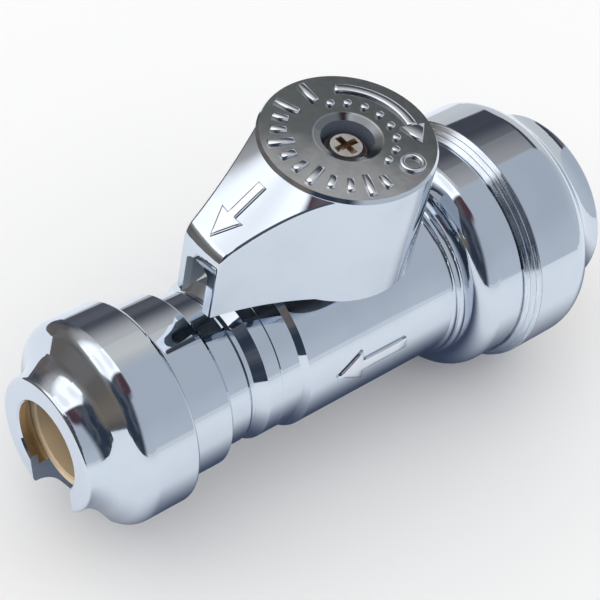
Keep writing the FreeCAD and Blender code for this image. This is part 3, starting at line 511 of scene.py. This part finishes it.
# pointer on the lever's conical slope, wrapped round the stem
def makeSlopeMark():
    look = slopeMark
    mesh = bmesh.new()
    addArrow(mesh, look)
    lean = math.radians(look["slope"])
    startZ = look["crownZ"] - (look["startRadius"] - look["discRadius"]) * math.tan(lean)
    for vert in mesh.verts:
        along, aside, height = vert.co
        radius = look["startRadius"] + along * math.cos(lean) + height * math.sin(lean)
        turn = math.pi + aside / radius
        vert.co = (look["stemX"] + radius * math.cos(turn), radius * math.sin(turn),
                   startZ - along * math.sin(lean) + height * math.cos(lean))
    bmesh.ops.recalc_face_normals(mesh, faces=mesh.faces)
    finishMark("leverPointer", mesh, "lever")


flowMark = {
    "rise": 0.0003, "sink": 0.0001, "soften": 0.00016,
    "length": 0.0098, "bar": 0.0007, "neck": 0.0062, "head": 0.0019,
    "startX": -0.0057, "radius": 0.00995, "turn": 171.0,
}


# flow arrow on the near side of the body, towards the small end
def makeFlowMark():
    look = flowMark
    mesh = bmesh.new()
    addArrow(mesh, look)
    for vert in mesh.verts:
        along, aside, height = vert.co
        turn = math.radians(look["turn"]) + aside / look["radius"]
        radius = look["radius"] + height
        vert.co = (look["startX"] - along, radius * math.cos(turn), radius * math.sin(turn))
    bmesh.ops.recalc_face_normals(mesh, faces=mesh.faces)
    finishMark("bodyFlowArrow", mesh, "valve")


makeDiscMarks()
makeSlopeMark()
makeFlowMark()
print("marks ready")


# for stage pieces that only show in the plating
def onlyMirrored(item):
    item.visible_camera = False
    item.visible_diffuse = False
    item.visible_shadow = False
    item.visible_transmission = False


floorLook = {"span": 1.6, "height": -0.0145, "color": (0.9, 0.9, 0.9), "rough": 0.9}


# the plain pale table that the camera sees, with the valve's shadow
def makeFloor():
    mesh = bmesh.new()
    bmesh.ops.create_grid(mesh, x_segments=1, y_segments=1, size=floorLook["span"])
    bmesh.ops.translate(mesh, verts=mesh.verts, vec=(0.0, 0.0, floorLook["height"]))
    floor = linkMesh("studioFloor", mesh)
    floor.data.materials.append(newMaterial("floorPaper", floorLook["color"], 0.0, floorLook["rough"]))
    floor.visible_glossy = False


paperLook = {
    "back": 0.085, "left": -0.28, "right": 0.19, "front": -2.5, "lift": 0.00005, "glow": 0.1,
    "near": (0.90, 0.925, 0.955), "far": (0.86, 0.885, 0.915), "farFrom": (0.08, 0.3),
    "shade": (0.06, 0.085, 0.16), "shadeMost": 0.95, "shadeFront": (-0.028, -0.007),
    "shadeBack": (0.03, 0.01), "shadeLeft": (-0.052, -0.032), "shadeRight": (0.06, 0.035),
}


# the sheet that the plating mirrors ends close behind the valve, as on a small table
def makePaper():
    look = paperLook
    mesh = bmesh.new()
    bmesh.ops.create_grid(mesh, x_segments=1, y_segments=1, size=0.5)
    size = (look["right"] - look["left"], look["back"] - look["front"], 1.0)
    bmesh.ops.scale(mesh, verts=mesh.verts, vec=size)
    middle = ((look["right"] + look["left"]) / 2.0, (look["back"] + look["front"]) / 2.0,
              floorLook["height"] + look["lift"])
    bmesh.ops.translate(mesh, verts=mesh.verts, vec=middle)
    paper = linkMesh("studioPaper", mesh)
    sheet = newMaterial("mirroredPaper", look["far"], 0.0, 1.0)
    distance = addNode(sheet, "ShaderNodeVectorMath", operation="LENGTH")
    join(sheet, objectCoords(sheet), distance.inputs[0])
    # the sheet is painted paler near the valve, a painted pool of light
    tone = mixColor(sheet, fade(sheet, distance.outputs["Value"], look["farFrom"]), look["near"], look["far"])
    # bluish contact shade along the valve
    x, y = splitXyz(sheet, objectCoords(sheet))[:2]
    contact = product(sheet, mapRange(sheet, y, look["shadeFront"], (0.0, look["shadeMost"])),
                      fade(sheet, y, look["shadeBack"]), fade(sheet, x, look["shadeLeft"]),
                      fade(sheet, x, look["shadeRight"]))
    tone = mixColor(sheet, contact, tone, look["shade"])
    shader = principled(sheet)
    join(sheet, tone, shader.inputs["Base Color"])
    # a faint glow adds painted light to the sheet
    join(sheet, tone, shader.inputs["Emission Color"])
    shader.inputs["Emission Strength"].default_value = look["glow"]
    shader.inputs["Specular IOR Level"].default_value = 0.0
    paper.data.materials.append(sheet)
    onlyMirrored(paper)


# each pair gives the edges of a fade along a direction or an axis of the unit sphere
roomLook = {
    "radius": 3.0, "rings": (64, 32),
    "frontLow": (0.65, 0.70, 0.755), "frontHigh": (0.56, 0.605, 0.66), "frontRise": (0.04, 0.6),
    "frontPale": (0.86, 0.885, 0.915), "sweepFrom": 0.55, "sweepDrop": 1.85, "sweepEdge": (0.052, 0.036),
    "leftNavy": (0.038, 0.053, 0.08), "leftWay": (-0.82, 0.57, 0.0), "leftEdge": (-0.36, -0.02),
    "leftBrown": (0.22, 0.18, 0.14), "brownWay": (-0.985, 0.0, 0.17), "brownEdge": (0.94, 0.995),
    "backDark": (0.073, 0.077, 0.098), "backBrown": (0.17, 0.15, 0.135), "backBrownEdge": (0.3, -0.15),
    "backLight": (0.80, 0.78, 0.75), "climbFrom": 0.3, "climbLean": -0.9, "climbLift": 0.45,
    "climbEdge": (0.36, 0.94),
    "backPale": (0.76, 0.77, 0.77), "lowWay": (1.0, 0.0, -0.526), "lowEdge": (0.505, 0.525),
    "softHigh": (0.84, 0.89), "softLeft": (0.2, -0.1), "sharpEdge": (0.11, 0.15), "softEdge": (-0.06, 0.3),
    "overhead": (0.10, 0.055, 0.07), "overheadHigh": (0.85, 0.93), "overheadFront": (0.06, -0.02),
    "overheadLeft": (0.36, 0.22),
    "clutter": (0.3, 0.3, 0.31), "clutterScale": 3.2, "clutterDetail": 4.0, "clutterFrom": (0.4, 0.65),
    "clutterMost": 0.3, "clutterLeft": (-0.2, 0.1),
}


# the room's painted light and shade by direction: grey in front, navy at the left, a dark back that lightens
# upwards
def paintRoom(material, way):
    look = roomLook
    x, y, z = splitXyz(material, way)
    color = mixColor(material, fade(material, z, look["frontRise"]), look["frontLow"], look["frontHigh"])
    # pale sweep along the table's front, lower towards the right
    drop = mathStep(material, "MAXIMUM", mathStep(material, "SUBTRACT", x, look["sweepFrom"]), 0.0)
    sweep = total(material, z, product(material, drop, look["sweepDrop"]))
    color = mixColor(material, fade(material, sweep, look["sweepEdge"]), color, look["frontPale"])
    left = dotWith(material, way, look["leftWay"])
    color = mixColor(material, fade(material, left, look["leftEdge"]), color, look["leftNavy"])
    brown = dotWith(material, way, look["brownWay"])
    color = mixColor(material, fade(material, brown, look["brownEdge"]), color, look["leftBrown"])
    # the back: a ramp that climbs with height and towards the left
    lean = product(material, mathStep(material, "MAXIMUM", x, look["climbFrom"]), look["climbLean"])
    climb = total(material, z, lean, look["climbLift"])
    base = mixColor(material, fade(material, x, look["backBrownEdge"]), look["backDark"], look["backBrown"])
    back = mixColor(material, fade(material, climb, look["climbEdge"]), base, look["backLight"])
    low = dotWith(material, way, look["lowWay"])
    back = mixColor(material, fade(material, low, look["lowEdge"]), back, look["backPale"])
    # its edge is sharp low at the right, soft high up and at the left
    soft = mathStep(material, "MAXIMUM", fade(material, z, look["softHigh"]),
                    fade(material, x, look["softLeft"]))
    sharp = mathStep(material, "SUBTRACT", 1.0, soft)
    sharpPart = product(material, fade(material, y, look["sharpEdge"]), sharp)
    softPart = product(material, fade(material, y, look["softEdge"]), soft)
    color = mixColor(material, total(material, sharpPart, softPart), color, back)
    # darkness overhead in front
    above = product(material, fade(material, z, look["overheadHigh"]), fade(material, y, look["overheadFront"]),
                    fade(material, x, look["overheadLeft"]))
    color = mixColor(material, above, color, look["overhead"])
    # painted reflections of uneven furniture in the dark parts
    clutter = noiseOn(material, way, look["clutterScale"], look["clutterDetail"])
    shade = product(material, mapRange(material, clutter, look["clutterFrom"], (0.0, look["clutterMost"])),
                    fade(material, left, look["clutterLeft"]))
    return mixColor(material, shade, color, look["clutter"])


softboxLook = {
    "bright": (1.65, 1.65, 1.65), "dim": (1.3, 1.3, 1.3), "unevenScale": 2.2, "unevenFrom": (0.35, 0.62),
    "lowest": 0.05, "centre": (-0.42, 0.52), "turn": (0.85, 0.53),
    "right": (0.88, 0.78), "along": (1.4, 0.95), "near": (-0.78, -0.6), "far": (0.85, 0.3),
    "behind": (-0.03, 0.05), "rise": (0.05, 0.3),
}


# the softbox lies on the ceiling behind the dark part
def paintSoftbox(material, way, color):
    look = softboxLook
    x, y, z = splitXyz(material, way)
    height = mathStep(material, "MAXIMUM", z, look["lowest"])
    ceilingX = mathStep(material, "SUBTRACT", mathStep(material, "DIVIDE", x, height), look["centre"][0])
    ceilingY = mathStep(material, "SUBTRACT", mathStep(material, "DIVIDE", y, height), look["centre"][1])
    longer, shorter = look["turn"]
    along = total(material, product(material, ceilingX, -longer), product(material, ceilingY, shorter))
    across = total(material, product(material, ceilingX, shorter), product(material, ceilingY, longer))
    glow = product(material, fade(material, ceilingX, look["right"]), fade(material, along, look["along"]),
                   fade(material, across, look["near"]), fade(material, across, look["far"]),
                   fade(material, y, look["behind"]), fade(material, z, look["rise"]))
    uneven = noiseOn(material, way, look["unevenScale"], 0.0)
    box = mixColor(material, fade(material, uneven, look["unevenFrom"]), look["dim"], look["bright"])
    return mixColor(material, glow, color, box)


# a glowing sphere, seen only in the plating, that carries the painted light of the room
def makeRoom():
    mesh = bmesh.new()
    around, upward = roomLook["rings"]
    bmesh.ops.create_uvsphere(mesh, u_segments=around, v_segments=upward, radius=roomLook["radius"])
    bmesh.ops.reverse_faces(mesh, faces=mesh.faces)
    room = linkMesh("studioRoom", mesh)
    material = bpy.data.materials.new("roomPaint")
    material.use_nodes = True
    material.node_tree.nodes.clear()
    unit = addNode(material, "ShaderNodeVectorMath", operation="NORMALIZE")
    join(material, objectCoords(material), unit.inputs[0])
    way = unit.outputs["Vector"]
    glow = addNode(material, "ShaderNodeEmission")
    join(material, paintSoftbox(material, way, paintRoom(material, way)), glow.inputs["Color"])
    output = addNode(material, "ShaderNodeOutputMaterial")
    join(material, glow.outputs["Emission"], output.inputs["Surface"])
    room.data.materials.append(material)
    onlyMirrored(room)


lampLook = {"place": (-0.27, 0.2, 0.5), "size": (0.44, 0.7), "power": 0.45}


def makeLamp():
    light = bpy.data.lights.new("softLamp", "AREA")
    light.shape = "RECTANGLE"
    light.size, light.size_y = lampLook["size"]
    light.energy = lampLook["power"]
    lamp = bpy.data.objects.new("softLamp", light)
    place = Vector(lampLook["place"])
    lamp.location = place
    lamp.rotation_euler = (-place).to_track_quat("-Z", "Y").to_euler()
    lamp.visible_glossy = False
    bpy.context.scene.collection.objects.link(lamp)


worldLook = {"color": (1.0, 1.0, 1.0), "light": 1.0, "seen": 1.0}


# plain white light, and a white background for what the camera, metal and glass see
def makeWorld():
    world = bpy.data.worlds.new("studioWhite")
    bpy.context.scene.world = world
    world.use_nodes = True
    world.node_tree.nodes.clear()
    path = addNode(world, "ShaderNodeLightPath").outputs
    seen = mathStep(world, "MAXIMUM", path["Is Camera Ray"], path["Is Glossy Ray"])
    seen = mathStep(world, "MAXIMUM", seen, path["Is Transmission Ray"])
    mix = addNode(world, "ShaderNodeMixShader")
    join(world, seen, mix.inputs["Fac"])
    for number, strength in ((1, worldLook["light"]), (2, worldLook["seen"])):
        background = addNode(world, "ShaderNodeBackground")
        background.inputs["Color"].default_value = (*worldLook["color"], 1.0)
        background.inputs["Strength"].default_value = strength
        join(world, background.outputs["Background"], mix.inputs[number])
    output = addNode(world, "ShaderNodeOutputWorld")
    join(world, mix.outputs["Shader"], output.inputs["Surface"])


makeFloor()
makePaper()
makeRoom()
makeLamp()
makeWorld()
print("studio ready")

view = {
    "place": (-0.1233, -0.0983, 0.1583),
    "right": (0.7653, -0.6264, 0.1479),
    "up": (0.3859, 0.6304, 0.6735),
    "back": (-0.5152, -0.4584, 0.7242),
    "focalPixels": 1980.8, "imagePixels": 600.0, "sensor": 36.0, "clip": (0.01, 10.0),
}


def makeCamera():
    data = bpy.data.cameras.new("photoCamera")
    data.sensor_fit = "HORIZONTAL"
    data.sensor_width = view["sensor"]
    data.lens = view["focalPixels"] / view["imagePixels"] * view["sensor"]
    data.clip_start, data.clip_end = view["clip"]
    camera = bpy.data.objects.new("photoCamera", data)
    axes = Matrix((view["right"], view["up"], view["back"])).transposed()
    camera.matrix_world = Matrix.Translation(view["place"]) @ axes.to_4x4()
    bpy.context.scene.collection.objects.link(camera)
    bpy.context.scene.camera = camera


makeCamera()
bpy.context.scene.view_settings.view_transform = "Standard"
print("camera ready")
